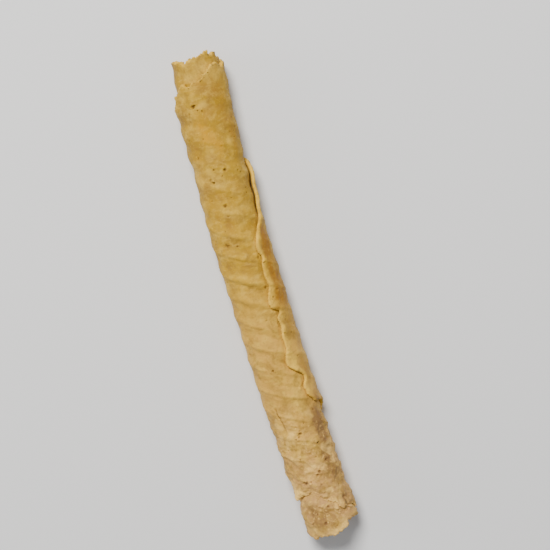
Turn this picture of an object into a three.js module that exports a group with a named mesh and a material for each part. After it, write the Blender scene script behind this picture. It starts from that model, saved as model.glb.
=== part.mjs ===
// A rolled wafer: one thin baked disc wound into a hollow tube of about three turns.
// The tube lies along X on the floor plane. +Z is the side with the loose outer edge in
// view, and that edge, the seam, runs along the -Y shoulder. Millimetres, +Z up.
//
// The wafer is one sheet. A place on it is given by two numbers: `turn`, the angle in degrees
// that the sheet has wound from the top of the tube, counted on past 360, and `along`, the
// distance along the tube. The disc's edge is an outline in those two, so both ragged ends,
// the stepped layers inside them and the seam all come from the same round edge.

import * as THREE from "three";

// The roll as a whole
const HALF_LENGTH = 65.2; // from the middle to the furthest part of either end
const OUTER_RADIUS = 7.92; // outer face of the sheet at the seam
const THICKNESS = 0.85; // of the wafer
const PITCH = 0.95; // how far the sheet winds inwards in one turn
const SEAM_TURN = 18; // degrees from the top of the tube to the middle of the seam
const TURNS = 2.9; // from the seam to the sheet's inner edge
const FLAT_HALF_ANGLE = 15; // of the pressed strip that the tube lies on
const BOW = 2.5; // how far the middle of the tube stands out of line, to +Y
const SKEW = 0.9; // how much more of that bow the upper half has than the lower
const WAIST = { at: 5.5, fade: 26, depth: 0.25 }; // the middle is wound a little tighter

// The disc's outline: widest part of the way in from the seam, rounder at the lower end
const WIDEST_TURN = 708;
const INNER_TURN = SEAM_TURN + 360 * TURNS;
const UPPER_POWER = 2.5;
const LOWER_POWER = 2.0;

// The seam's lobes and notches: where each is along the tube, how far it reaches over the
// sheet below (below zero for a notch) and the distance over which it fades
const SEAM_LOBES = [
  { at: 41.2, reach: -3.0, fade: 2.8 },
  { at: 36.8, reach: -3.6, fade: 1.8 },
  { at: 28.7, reach: -2.5, fade: 8.6 },
  { at: 21.9, reach: -2.9, fade: 4.9 },
  { at: 10.8, reach: -1.0, fade: 1.2 },
  { at: 7.8, reach: -1.4, fade: 7.0 },
  { at: 2.6, reach: -0.9, fade: 2.3 },
  { at: -4.2, reach: -2.1, fade: 1.2 },
  { at: -7.0, reach: -1.2, fade: 2.5 },
  { at: -16.5, reach: 2.0, fade: 3.2 },
  { at: -19.3, reach: 2.2, fade: 2.8 },
  { at: -25.4, reach: 4.2, fade: 2.6 },
  { at: -28.2, reach: 3.6, fade: 1.8 },
  { at: -29.5, reach: 2.2, fade: 0.8 },
];
const DEGREES_PER_MM = 7.8; // along the seam, at its own radius

// The fine raggedness of the ends: its height, and how often it comes and goes round the tube
const RAGGED = [
  { size: 0.3, rate: 7.3, lean: 1 },
  { size: 0.25, rate: 11.9, lean: -2 },
];

// Chips out of the ragged ends and tongues that stand past them: the turn at which each is,
// its length in millimetres (below zero for a chip) and the angle over which it fades
const LOWER_CHIPS = [
  { turn: 293, length: 2.2, fade: 13 },
  { turn: 336, length: -2.9, fade: 16 },
  { turn: 368, length: -1.6, fade: 16 },
  { turn: 395, length: 0.9, fade: 16 },
  { turn: 628, length: -0.8, fade: 15 },
  { turn: 765, length: -1.8, fade: 20 },
];
const UPPER_CHIPS = [
  { turn: 272, length: -4.2, fade: 26 },
  { turn: 352, length: -1.8, fade: 16 },
  { turn: 455, length: -2.2, fade: 26 },
  { turn: 596, length: -2.6, fade: 20 },
  { turn: 688, length: -1.6, fade: 12 },
  { turn: 812, length: -2.2, fade: 24 },
];

// Where the seam stands off the roll
const FLAP = { at: 31, fade: 9, lift: 0.42, width: 46 };
const FLAP_ENDS = { from: 90, to: 140 }; // turns over which it comes back to the roll

// Both ends are wider, the lower one by more
const FLARES = [
  { from: -50, to: -64, rise: 1.0 },
  { from: 36, to: 60, rise: 0.15 },
];

// The outer layer's own rim is loose, most at one corner; and the turns of that layer
const LOOSE_RIM = { lift: 0.15, fade: 4, longest: 20 };
const LOOSE_CORNER = { turn: 290, spread: 24, lift: 0.55, fade: 7 };
const OUTER_LAYER = { from: 190, by: 230, until: 480, to: 600 };

// Creases that run round the sides
const DENTS = [
  { along: 48.8, depth: 0.32, fade: 1.7 },
  { along: 36.2, depth: 0.3, fade: 1.5 },
];

// The waffle iron's slanting ridges: their spacing along the tube, how many wind round it,
// where one of their crests is at the top of the tube, and how far they stray
const RIDGE = { spacing: 6.2, starts: 3, crest: 5.2, height: 0.13 };
const STRAYS = [
  { size: 0.3, length: 9, rounds: 2 },
  { size: 0.2, length: 5.3, rounds: -1 },
];

// The tube's slow unevenness, and how far down its sides the relief is pressed out
const SWELL = { height: 0.12, length: 6.1 };
const PRESSED_SIDES = { from: 0.6, to: 0.93 };

// Facets
const TURN_STEP = 15;
const MIDDLE_STEP = 2.4; // along the tube, where the seam shows
const END_STEP = 3.7;
const MIDDLE_ROWS = 14; // rows of each half at the shorter step
const SHORTEST_CUT = 0.12; // share of a facet's edge, so that no cut leaves a sliver

const { clamp, degToRad, lerp, smoothstep } = THREE.MathUtils;
const bell = (distance, fade) => Math.exp(-((distance / fade) ** 2));

// How far the seam's edge reaches past the plain outline, in degrees of turn.
function seamReach(along) {
  const reach = SEAM_LOBES.reduce(
    (sum, lobe) => sum + lobe.reach * bell(along - lobe.at, lobe.fade),
    0,
  );
  return reach * DEGREES_PER_MM;
}

// How far the ragged ends reach past the plain outline, in millimetres.
function endReach(turn, along) {
  const chips = along > 0 ? UPPER_CHIPS : LOWER_CHIPS;
  const ragged = RAGGED.reduce(
    (sum, { size, rate, lean }) => sum + size * Math.sin(degToRad(turn * rate + along * lean)),
    0,
  );
  return chips.reduce(
    (sum, chip) => sum + chip.length * bell(turn - chip.turn, chip.fade),
    ragged,
  );
}

const powerAt = (along) => (along > 0 ? UPPER_POWER : LOWER_POWER);

// Above zero on the wafer, zero on its edge and below zero outside it.
function outline(turn, along) {
  const power = powerAt(along);
  const inward = turn > WIDEST_TURN;
  const reach = inward ? 0 : seamReach(along);
  const semiTurn = inward ? INNER_TURN - WIDEST_TURN : WIDEST_TURN - SEAM_TURN;
  const across = Math.abs(turn + reach - WIDEST_TURN) / semiTurn;
  const lengthways = Math.abs(along) / (HALF_LENGTH + endReach(turn, along));
  return 1 - (across ** power + lengthways ** power) ** (1 / power);
}

// The turn at which the seam's edge lies.
function seamEdge(along) {
  const power = powerAt(along);
  const lengthways = clamp(Math.abs(along) / HALF_LENGTH, 0, 0.98);
  const across = (1 - lengthways ** power) ** (1 / power);
  return WIDEST_TURN - across * (WIDEST_TURN - SEAM_TURN) - seamReach(along);
}

// How far the wafer reaches along the tube at a turn, towards one of its ends.
function endEdge(turn, along) {
  const semiTurn = turn > WIDEST_TURN ? INNER_TURN - WIDEST_TURN : WIDEST_TURN - SEAM_TURN;
  const across = clamp(Math.abs(turn - WIDEST_TURN) / semiTurn, 0, 1);
  const power = powerAt(along);
  return (HALF_LENGTH + endReach(turn, along)) * (1 - across ** power) ** (1 / power);
}

// The iron's relief and the slow unevenness of the tube. It is the same for each layer, so
// that they nest, and is pressed out of the side that the tube lies on.
function relief(turn, along) {
  const angle = degToRad(turn);
  const underside = (1 - Math.cos(angle)) / 2;
  const stray = STRAYS.reduce(
    (sum, { size, length, rounds }) => sum + size * Math.sin(along / length + rounds * angle),
    0,
  );
  const lines = (2 * Math.PI * (along - RIDGE.crest)) / RIDGE.spacing + RIDGE.starts * angle;
  const ridges = RIDGE.height * Math.cos(lines + stray);
  const swell = SWELL.height * Math.sin(along / SWELL.length + Math.sin(angle));
  const waist = WAIST.depth * bell(along - WAIST.at, WAIST.fade);
  const sideways = Math.abs(Math.sin(angle));
  const dents = DENTS.reduce(
    (sum, dent) => sum + dent.depth * sideways * bell(along - dent.along, dent.fade),
    0,
  );
  const height = ridges + swell - waist - dents;
  return height * (1 - smoothstep(underside, PRESSED_SIDES.from, PRESSED_SIDES.to));
}

// The loose ends, which open to the sides and upwards. Only the outer layer's rim splays:
// further in, a rim has another layer around it.
function flare(turn, along) {
  const downward = Math.max(0, -Math.cos(degToRad(turn)));
  const open = FLARES.reduce((sum, { from, to, rise }) => {
    const share = clamp((along - from) / (to - from), 0, 1);
    return sum + rise * smoothstep(share, 0, 1);
  }, 0);
  const { from, by, until, to } = OUTER_LAYER;
  const outermost = smoothstep(turn, from, by) * (1 - smoothstep(turn, until, to));
  const fromRim = clamp(endEdge(turn, along) - Math.abs(along), -2, LOOSE_RIM.longest);
  const atCorner = bell(turn - LOOSE_CORNER.turn, LOOSE_CORNER.spread);
  const rim = LOOSE_RIM.lift * Math.exp(-fromRim / LOOSE_RIM.fade);
  const corner = LOOSE_CORNER.lift * atCorner * Math.exp(-fromRim / LOOSE_CORNER.fade);
  return (open + (rim + corner) * outermost) * (1 - downward ** 2);
}

// The seam's edge standing off the layer below it.
function flapLift(turn, along) {
  const inFromEdge = clamp(1 - (turn - seamEdge(along)) / FLAP.width, 0, 1.2);
  const clearOfFloor = 1 - smoothstep(turn, FLAP_ENDS.from, FLAP_ENDS.to);
  return FLAP.lift * bell(along - FLAP.at, FLAP.fade) * inFromEdge ** 2 * clearOfFloor;
}

function layerRadius(turn) {
  return OUTER_RADIUS - (PITCH * (turn - SEAM_TURN)) / 360;
}

// At this height of the tube's axis, the floor cuts the strip off at its two edges.
const PRESSED_EDGE = 180 + FLAT_HALF_ANGLE;
const AXIS_HEIGHT = -layerRadius(PRESSED_EDGE) * Math.cos(degToRad(PRESSED_EDGE));

// A point of the sheet, at a depth below its outer face.
function place(turn, along, depth) {
  const angle = degToRad(turn);
  const radius =
    layerRadius(turn) +
    relief(turn, along) +
    flare(turn, along) +
    flapLift(turn, along) -
    depth;
  const share = along / HALF_LENGTH;
  const y = (BOW + SKEW * share) * (1 - share ** 2) - radius * Math.sin(angle);
  const z = AXIS_HEIGHT + radius * Math.cos(angle);
  return new THREE.Vector3(along, y, Math.max(z, 0));
}

// How far along the tube a row of facets is. Rows count outwards from the middle.
function rowAt(j) {
  const rows = Math.abs(j);
  const near = Math.min(rows, MIDDLE_ROWS);
  return Math.sign(j) * (near * MIDDLE_STEP + (rows - near) * END_STEP);
}

// The sheet's facets: the cells of a grid over the disc, cut off along its outline. Returns the
// corners, each as a point on the outer face and one on the inner, and each facet as the
// numbers of its corners.
function cutGrid() {
  const corners = [];
  const numbers = new Map();
  const columns = Math.ceil(INNER_TURN / TURN_STEP) + 1;
  const rows = MIDDLE_ROWS + Math.ceil((HALF_LENGTH + 4 - rowAt(MIDDLE_ROWS)) / END_STEP);
  const spot = (i, j) => ({ turn: i * TURN_STEP, along: rowAt(j) });
  const inside = (i, j) => outline(spot(i, j).turn, spot(i, j).along) > 0;

  function numberOf(name, makeCorner) {
    if (!numbers.has(name)) {
      numbers.set(name, corners.length);
      corners.push(makeCorner());
    }
    return numbers.get(name);
  }

  function corner({ turn, along }) {
    return [place(turn, along, 0), place(turn, along, THICKNESS)];
  }

  // The corner where the outline crosses the edge between two grid points. It stays on that
  // straight edge, so that a layer's rim nests with the facets of the layer around it.
  function crossing([i0, j0], [i1, j1]) {
    const kept = inside(i0, j0) ? spot(i0, j0) : spot(i1, j1);
    const left = inside(i0, j0) ? spot(i1, j1) : spot(i0, j0);
    let near = 0;
    let far = 1;
    for (let round = 0; round < 20; round++) {
      const middle = (near + far) / 2;
      const turn = lerp(kept.turn, left.turn, middle);
      const along = lerp(kept.along, left.along, middle);
      if (outline(turn, along) > 0) near = middle;
      else far = middle;
    }
    const share = clamp(near, SHORTEST_CUT, 1 - SHORTEST_CUT);
    const beyond = corner(left);
    return numberOf(`${Math.min(i0, i1)},${Math.min(j0, j1)},${j0 === j1}`, () =>
      corner(kept).map((point, face) => point.lerp(beyond[face], share)),
    );
  }

  const facets = [];
  for (let i = 0; i < columns; i++) {
    for (let j = -rows; j < rows; j++) {
      const ring = [[i, j], [i + 1, j], [i + 1, j + 1], [i, j + 1]];
      const facet = [];
      ring.forEach((here, k) => {
        const next = ring[(k + 1) % ring.length];
        if (inside(...here)) facet.push(numberOf(`${here}`, () => corner(spot(...here))));
        if (inside(...here) !== inside(...next)) facet.push(crossing(here, next));
      });
      if (facet.length > 2) facets.push(facet);
    }
  }
  return { corners, facets };
}

// The closed solid: an outer face, an inner face one thickness below it, and the edge wall.
function waferGeometry() {
  const { corners, facets } = cutGrid();
  const count = corners.length;
  const outer = corners.map(([point]) => point);
  const inner = corners.map(([, point]) => point);
  const triangles = [];
  const sides = new Set();
  for (const facet of facets) {
    facet.forEach((a, k) => sides.add(`${a},${facet[(k + 1) % facet.length]}`));
    for (let k = 1; k + 1 < facet.length; k++) {
      const [a, b, c] = [facet[0], facet[k], facet[k + 1]];
      triangles.push(a, b, c, a + count, c + count, b + count);
    }
  }
  for (const side of sides) {
    const [a, b] = side.split(",").map(Number);
    if (sides.has(`${b},${a}`)) continue;
    triangles.push(a, a + count, b, b, a + count, b + count);
  }
  const geometry = new THREE.BufferGeometry().setFromPoints([...outer, ...inner]);
  geometry.setIndex(triangles);
  geometry.computeBoundingBox();
  const middle = geometry.boundingBox.getCenter(new THREE.Vector3());
  geometry.translate(-middle.x, -middle.y, 0);
  geometry.computeVertexNormals();
  return geometry;
}

const bakedWafer = new THREE.MeshStandardMaterial({
  color: 0xc59a58,
  roughness: 0.7,
  metalness: 0,
});

const wafer = new THREE.Mesh(waferGeometry(), bakedWafer);
wafer.name = "wafer";

const waferRoll = new THREE.Group();
waferRoll.name = "wafer_roll";
waferRoll.add(wafer);

export default waferRoll;
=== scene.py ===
# A hand-rolled wafer, lying on a pale table with its seam side up.
import math
import random

import bmesh
import bpy
from mathutils import Matrix, Vector, noise


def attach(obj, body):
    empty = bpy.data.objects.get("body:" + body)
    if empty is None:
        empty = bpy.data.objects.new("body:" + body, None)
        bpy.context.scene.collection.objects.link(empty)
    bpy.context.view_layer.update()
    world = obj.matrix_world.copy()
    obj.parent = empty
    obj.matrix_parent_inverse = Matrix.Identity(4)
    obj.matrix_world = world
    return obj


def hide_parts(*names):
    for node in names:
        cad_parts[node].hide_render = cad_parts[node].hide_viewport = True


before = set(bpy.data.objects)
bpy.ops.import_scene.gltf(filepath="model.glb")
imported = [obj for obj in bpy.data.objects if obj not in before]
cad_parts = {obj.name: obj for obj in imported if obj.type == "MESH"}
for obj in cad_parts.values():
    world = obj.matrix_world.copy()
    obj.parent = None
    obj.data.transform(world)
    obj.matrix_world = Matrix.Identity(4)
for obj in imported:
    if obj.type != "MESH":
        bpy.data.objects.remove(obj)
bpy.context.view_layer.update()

mm = 0.001

# The wafer is made flat, as it comes off the iron, and rolled up at the end.
# While it is flat, x is how far it will wind (turn), y is along the tube and z is depth, in mm.
roll = {
    "halfLength": 65.2,
    "outerRadius": 7.92,      # outer face at the seam
    "thickness": 0.85,
    "pitch": 0.95,            # how far it winds inwards in a turn
    "seamTurn": 18.0,         # degrees from the top of the tube
    "turns": 2.9,
    "flatHalfAngle": 15.0,    # the pressed strip that it lies on
    "bow": 2.5,
    "skew": 0.9,              # the upper half is bowed more
    "waist": (5.5, 26.0, 0.25),   # the middle is wound tighter: along, fade, depth
    "widestTurn": 708.0,      # where the sheet is longest
    "upperPower": 2.5,        # how square its outline is towards each end
    "lowerPower": 2.0,
    "seamStops": 0.98,        # share of the half length that the seam is followed for
    "flatMmPerDegree": 0.122,
    # lobes and notches of the seam: along, reach, fade
    "seamLobes": [
        (41.2, -3.0, 2.8), (36.8, -3.6, 1.8), (28.7, -2.5, 8.6), (21.9, -2.9, 4.9),
        (10.8, -1.0, 1.2), (7.8, -1.4, 7.0), (2.6, -0.9, 2.3), (-4.2, -2.1, 1.2),
        (-7.0, -1.2, 2.5), (-16.5, 2.0, 3.2), (-19.3, 2.2, 2.8), (-25.4, 4.2, 2.6),
        (-28.2, 3.6, 1.8), (-29.5, 2.2, 0.8),
    ],
    "degreesPerMm": 7.8,      # of their reach
    # chips and tongues of the ends: turn, length, fade
    "lowerChips": [
        (293, 2.2, 13), (336, -2.9, 16), (368, -1.6, 16), (395, 0.9, 16), (628, -0.8, 15),
        (765, -1.8, 20),
    ],
    "upperChips": [
        (272, -4.2, 26), (352, -1.8, 16), (455, -2.2, 26), (596, -2.6, 20), (688, -1.6, 12),
        (812, -2.2, 24),
    ],
    # and their small waves: reach, waves in a turn, degrees that they slip in a mm along it
    "endWaves": [(0.3, 7.3, 1), (0.25, 11.9, -2)],
    # where the seam stands off: along, fade, lift, width in degrees
    "flap": (31.0, 9.0, 0.42, 46.0),
    "flapMost": 1.2,          # share of that width on the lobes that reach past the edge
    "flapCloses": (90, 140),  # degrees in which it comes down again
    # wider ends: from, to, rise
    "flares": [(-50.0, -64.0, 1.0), (36.0, 60.0, 0.15)],
    "looseRim": (0.15, 4.0),  # the outer layer's rim splays: lift, fade
    "looseCorner": (290, 24, 0.55, 7.0),  # and most at one corner: turn, spread, lift, fade
    "looseTurns": (190, 230, 480, 600),   # degrees: starts, full, until, ends
    "looseReach": (-2.0, 20.0),           # mm in from the rim, least and most
    # creases round the sides: along, depth, fade
    "dents": [(48.8, 0.32, 1.7), (36.2, 0.3, 1.5)],
    # the iron's slanting ridges: spacing, how many wind round, a crest at the top, height
    "ridges": (6.2, 3, 5.2, 0.13),
    "strays": [(0.3, 9.0, 2), (0.2, 5.3, -1)],    # size, mm along the tube, waves round it
    "swell": (0.12, 6.1),     # the tube's slow unevenness: height, mm along the tube
    "reliefFades": (0.6, 0.93),   # from here to here on the way down to the underside
}

innerTurn = roll["seamTurn"] + 360 * roll["turns"]


def bell(distance, fade):
    return math.exp(-((distance / fade) ** 2))


def smooth(x, low, high):
    t = min(max((x - low) / (high - low), 0.0), 1.0)
    return t * t * (3 - 2 * t)


# Smooth unevenness about zero. Rates are per mm, and each use has its own plane of the noise.
def unevenness(x, y, plane, rate, crossRate=None):
    return noise.noise(Vector((x * rate, y * (crossRate or rate), plane)))


def turnOf(x):
    return x / roll["flatMmPerDegree"]


def seamReach(along, narrowest=0.0):
    lobes = [lobe for lobe in roll["seamLobes"] if lobe[2] > narrowest]
    return sum(reach * bell(along - at, fade) for at, reach, fade in lobes) * roll["degreesPerMm"]


def endReach(turn, along):
    chips = roll["upperChips"] if along > 0 else roll["lowerChips"]
    waves = 0.0
    for size, count, slip in roll["endWaves"]:
        waves += size * math.sin(math.radians(turn * count + slip * along))
    return waves + sum(length * bell(turn - at, fade) for at, length, fade in chips)


def powerAt(along):
    return roll["upperPower"] if along > 0 else roll["lowerPower"]


def semiTurnAt(turn):
    inward = turn > roll["widestTurn"]
    return innerTurn - roll["widestTurn"] if inward else roll["widestTurn"] - roll["seamTurn"]


# Above zero on the wafer, below zero outside it.
def outline(turn, along):
    power = powerAt(along)
    reach = 0.0 if turn > roll["widestTurn"] else seamReach(along)
    across = abs(turn + reach - roll["widestTurn"]) / semiTurnAt(turn)
    lengthways = abs(along) / (roll["halfLength"] + endReach(turn, along))
    return 1 - (across ** power + lengthways ** power) ** (1 / power)


# The turn at which the seam's edge lies, or would without its narrowest notches.
def seamEdge(along, narrowest=0.0):
    power = powerAt(along)
    lengthways = min(abs(along) / roll["halfLength"], roll["seamStops"])
    across = (1 - lengthways ** power) ** (1 / power)
    plain = roll["widestTurn"] - across * (roll["widestTurn"] - roll["seamTurn"])
    return plain - seamReach(along, narrowest)


# How far along the tube the wafer reaches at a turn.
def endEdge(turn, along):
    power = powerAt(along)
    across = min(abs(turn - roll["widestTurn"]) / semiTurnAt(turn), 1.0)
    return (roll["halfLength"] + endReach(turn, along)) * (1 - across ** power) ** (1 / power)


# The iron's relief and the tube's slow unevenness, alike in each layer so that they nest.
def relief(turn, along):
    angle = math.radians(turn)
    underside = (1 - math.cos(angle)) / 2
    spacing, starts, crest, tall = roll["ridges"]
    stray = sum(size * math.sin(along / length + k * angle) for size, length, k in roll["strays"])
    height = tall * math.cos(2 * math.pi * (along - crest) / spacing + starts * angle + stray)
    tall, length = roll["swell"]
    height += tall * math.sin(along / length + math.sin(angle))
    at, fade, depth = roll["waist"]
    height -= depth * bell(along - at, fade)
    for at, depth, fade in roll["dents"]:
        height -= depth * abs(math.sin(angle)) * bell(along - at, fade)
    return height * (1 - smooth(underside, *roll["reliefFades"]))


def flare(turn, along):
    downward = max(0.0, -math.cos(math.radians(turn)))
    rise = 0.0
    for start, end, size in roll["flares"]:
        share = min(max((along - start) / (end - start), 0.0), 1.0)
        rise += size * smooth(share, 0.0, 1.0)
    start, full, until, end = roll["looseTurns"]
    outermost = smooth(turn, start, full) * (1 - smooth(turn, until, end))
    if outermost > 0:
        least, most = roll["looseReach"]
        fromRim = min(max(endEdge(turn, along) - abs(along), least), most)
        lift, fade = roll["looseRim"]
        rise += lift * outermost * math.exp(-fromRim / fade)
        at, spread, lift, fade = roll["looseCorner"]
        rise += lift * bell(turn - at, spread) * outermost * math.exp(-fromRim / fade)
    return rise * (1 - downward ** 2)


def flapLift(turn, along):
    start, end = roll["flapCloses"]
    if turn > end:
        return 0.0
    at, fade, lift, width = roll["flap"]
    towardsEdge = min(max(1 - (turn - seamEdge(along)) / width, 0.0), roll["flapMost"])
    return lift * bell(along - at, fade) * towardsEdge ** 2 * (1 - smooth(turn, start, end))


def layerRadius(turn):
    return roll["outerRadius"] - roll["pitch"] * (turn - roll["seamTurn"]) / 360


pressedEdge = 180 + roll["flatHalfAngle"]
axisHeight = -layerRadius(pressedEdge) * math.cos(math.radians(pressedEdge))


# A point of the rolled sheet, at a depth below its outer face, in mm.
def place(turn, along, depth):
    angle = math.radians(turn)
    radius = layerRadius(turn) + relief(turn, along) + flare(turn, along) + flapLift(turn, along)
    radius -= depth
    share = along / roll["halfLength"]
    y = (roll["bow"] + roll["skew"] * share) * (1 - share ** 2) - radius * math.sin(angle)
    z = axisHeight + radius * math.cos(angle)
    return Vector((along, y, max(z, 0.0)))


# What only the finished wafer has: finer cells and relief than the solid's, in mm.
surface = {
    "cell": 1.2,                  # before the parts that show are made finer
    "spare": (30.0, 4.0),         # sheet round the wafer until it is cut: degrees, mm
    "roughCut": 2.0,              # outside the outline
    "rimBands": (1.5, 0.55),      # inside it, for finer cells and then finer again
    "rimOutside": 0.9,            # and outside it
    "rimKeep": 0.10,              # the narrowest facet along the rim
    "rimMove": (-0.2, 0.5),       # the most that its points are moved onto the outline
    "rimSmooth": 0.35,
    "raggedFades": (38.0, 58.0),      # from the middle, where the ends get more ragged
    "raggedSeam": 0.18,           # how far the cut wanders along the seam
    "raggedEnds": 0.90,           # and at the ends
    "raggedRate": 0.5,            # per mm
    "raggedOctaves": (0.8, 2.3, 4),
    "cornerCleaner": 0.6,         # share of it that the loose corner lacks
    "paleCorner": (304.0, 16.0),      # turn and width of the loose, pale corner
    "shownTurns": 475.0,          # the outermost winding
    "frontTurns": (262.0, 458.0),     # its side that faces up
    "flapTurns": 95.0,
    "endBand": 9.0,               # of every layer's end that may show
    "splitAbove": 0.6,            # of a cell: longer edges are split where it shows
    "fineMarks": (0.4, 0.12),     # round pores and crumbs, for finer cells and then finer again
    "fineCracks": 0.6,
    "openBefore": -60.0,          # degrees before which nothing lies on the sheet
    "coverFades": (-0.6, 0.1),    # inside the rim of the layer above: open, covered
    "coveredSinks": 0.08,         # relief under another layer goes in and not out
    "reliefDepth": (0.02, 0.55),  # below the outer face where its relief fades
    "marksFrom": 0.5,             # in from the rim where pores and folds are full
    "liesFades": (0.02, 1.2),     # above the table where the relief starts and is full
    "flapFades": (120, 160),      # degrees where the seam's own finish ends
    "seamBand": (0.9, 0.7, 0.12),     # the seam's edge swells: how far in, fade, height
    # wrinkles along the iron's lines: per mm along them, per mm across, height
    "wrinkles": [(0.14, 0.5, 0.10), (0.3, 1.1, 0.07)],
    # pebbly grain: per mm, height
    "pebbles": [(0.55, 0.09), (1.2, 0.07), (2.4, 0.035)],
    "rough": (-22.0, -42.0),      # coarser from here to here along the tube
    "roughWanders": (3, 0.15),    # that edge: how far, per mm
    "roughGrain": (0.40, 0.85, 0.30),     # per mm along the iron's lines, per mm across, height
    "roughOctaves": (0.7, 2.1, 4),
    "knobs": (0.8, 0.20, 0.45),   # per mm, height, how far they reach
}

# The waffle iron's lattice, as it is pressed into the sheet: low ridges round square cells.
iron = {
    "crossLines": 8,              # of the ridges that cross them
    "crossPitch": 16.5,
    "drift": (0.10, 0.12, 1.6),   # lines wander: how far, per mm, how much more the crossing ones
    "ridge": (0.44, 0.22),        # half width, height
    "crossRidge": (0.50, 0.14),
    "groove": (0.80, 0.30, 0.65), # on a ridge's lower side: how far, half width, share of its height
    "cell": 0.09,                 # how much deeper the middle of a cell is
    "cellFades": (0.5, 2.2),      # mm from the lines where it starts and is full
    "patches": (0.16, 0.10, 0.55),        # pressed more in patches: per mm, from, to
    "crossPatches": (0.2, 0.2, 0.65),
    "faint": (0.4, 16.0, 28.0),   # pressed less at the upper end: share there, from, to
    "flatSides": 0.7,             # of the relief is pressed out at the two sides
    "flatFolds": 0.9,             # and next to the folds
    # painted shade in the groove below each ridge
    "grooveShade": 0.22,
}


# Pores and blisters that broke, and two painted shadows: along, turn, radius, depth
pores = [
    (52.6, 336, 0.72, 0.80), (51.4, 343, 0.38, 0.42), (51.0, 353, 0.30, 0.32),
    (51.0, 325, 0.30, 0.15), (49.0, 321, 0.35, 0.15), (44.0, 342, 0.30, 0.20),
    (39.5, 318, 0.36, 0.22), (41.0, 376, 0.30, 0.15), (35.7, 348, 0.34, 0.30),
    (35.0, 371, 0.52, 0.45), (32.5, 340, 0.54, 0.48), (33.4, 334, 0.48, 0.18),
    (33.6, 362, 0.28, 0.24), (33.3, 408, 0.30, 0.15), (28.0, 323, 0.33, 0.20),
    (27.6, 360, 0.26, 0.22), (27.6, 370, 0.26, 0.22), (26.0, 352, 0.75, 0.26),
    (23.3, 352, 0.35, 0.22), (19.7, 337, 0.32, 0.20), (16.0, 332, 0.75, 0.24),
    (15.2, 354, 0.45, 0.28), (-18.5, 346, 0.48, 0.30), (-5.4, 368, 0.45, 0.16),
    (-10.0, 353, 0.35, 0.14), (-36.3, 358, 0.62, 0.42), (-37.5, 347, 0.38, 0.24),
    (-35.2, 369, 0.30, 0.20), (-34.4, 354, 0.26, 0.20), (-40.0, 389, 0.42, 0.30),
    (-39.0, 407, 0.35, 0.25), (-43.0, 340, 0.38, 0.28), (-43.4, 375, 0.38, 0.24),
    (-45.0, 395, 0.40, 0.26), (-47.4, 371, 0.52, 0.40), (-48.1, 364, 0.40, 0.24),
    (-50.8, 366, 0.40, 0.24), (-49.6, 334, 0.85, 0.50), (-49.5, 346, 0.36, 0.28),
    (-51.6, 358, 0.36, 0.22), (-60.8, 677, 0.50, 0.35), (-61.1, 707, 0.55, 0.36),
    (-57.0, 724, 0.45, 0.35), (-58.5, 692, 0.40, 0.30), (-62.5, 725, 0.45, 0.35),
    # the last two are shallow dents whose dark colour is painted shadow where folds run under the
    # seam's edge
    (9.3, 36, 0.42, 0.34), (2.8, 388, 0.75, 0.22), (10.9, 392, 0.60, 0.20),
]

# Crumbs that stuck to it: along, turn, radius, height
crumbs = [
    (-56.6, 710, 0.38, 0.22), (-57.5, 703, 0.30, 0.18), (-57.9, 716, 0.34, 0.20),
    (-56.1, 377, 0.30, 0.20), (-58.3, 741, 0.50, 0.30), (-59.6, 744, 0.42, 0.25),
    (-61.2, 742, 0.35, 0.22), (-35.0, 383, 0.30, 0.15), (-34.2, 389, 0.26, 0.14),
    (-36.0, 375, 0.26, 0.14), (-46.2, 372, 0.32, 0.16), (-47.3, 380, 0.28, 0.15),
    (-45.6, 366, 0.24, 0.14), (-43.9, 398, 0.26, 0.16), (-25.0, 391, 0.40, 0.20),
    (-24.3, 395, 0.30, 0.18),
]

# The ridges with a fold pressed in below them: their course as (along, turn), width, depth
folds = [
    ([(17.0, 334), (14.9, 392)], 0.60, 0.22),
    ([(6.0, 324), (5.4, 333), (4.4, 352), (2.0, 386)], 0.75, 0.32),
    ([(1.8, 306), (-0.5, 336), (-3.1, 374)], 0.70, 0.22),
    ([(-8.0, 342), (-9.8, 362), (-11.4, 384)], 0.65, 0.22),
    ([(-12.4, 318), (-13.9, 341), (-15.6, 360)], 0.65, 0.22),
    ([(-22.8, 352), (-25.0, 388)], 0.50, 0.12),
    ([(-47.0, 304), (-48.6, 318), (-50.2, 338)], 0.45, 0.18),
]
cracks = [
    ([(-28.2, 322), (-31.0, 325), (-36.8, 331)], 0.19, 0.34),
    ([(-55.0, 405), (-57.6, 408), (-60.6, 413)], 0.50, 0.26),
]


# Distance inside the outline in mm, and the way straight out of it, on the flat sheet.
def rimDistance(x, y):
    step = 0.02
    here = outline(turnOf(x), y)
    slope = Vector((
        outline(turnOf(x + step), y) - here,
        outline(turnOf(x), y + step) - here,
    )) / step
    size = max(slope.length, 1e-6)
    return here / size, -slope / size


def onCorner(turn):
    at, spread = surface["paleCorner"]
    return bell(turn - at, spread)


def raggedAt(x, y):
    ends = smooth(abs(y), *surface["raggedFades"])
    if y < 0:
        ends *= 1 - surface["cornerCleaner"] * onCorner(turnOf(x))
    rate = surface["raggedRate"]
    jagged = noise.fractal(Vector((x * rate, y * rate, 3.7)), *surface["raggedOctaves"])
    soft = unevenness(x, y, 3.7, rate)
    return surface["raggedSeam"] * (1 - ends) * soft + surface["raggedEnds"] * ends * jagged


def insideBy(x, y):
    return rimDistance(x, y)[0] + raggedAt(x, y)


def centres(faces, test):
    return [f for f in faces if test(*f.calc_center_median().xy)]


def split(bm, edges):
    bmesh.ops.subdivide_edges(bm, edges=list(edges), cuts=1, use_grid_fill=True)


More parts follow.
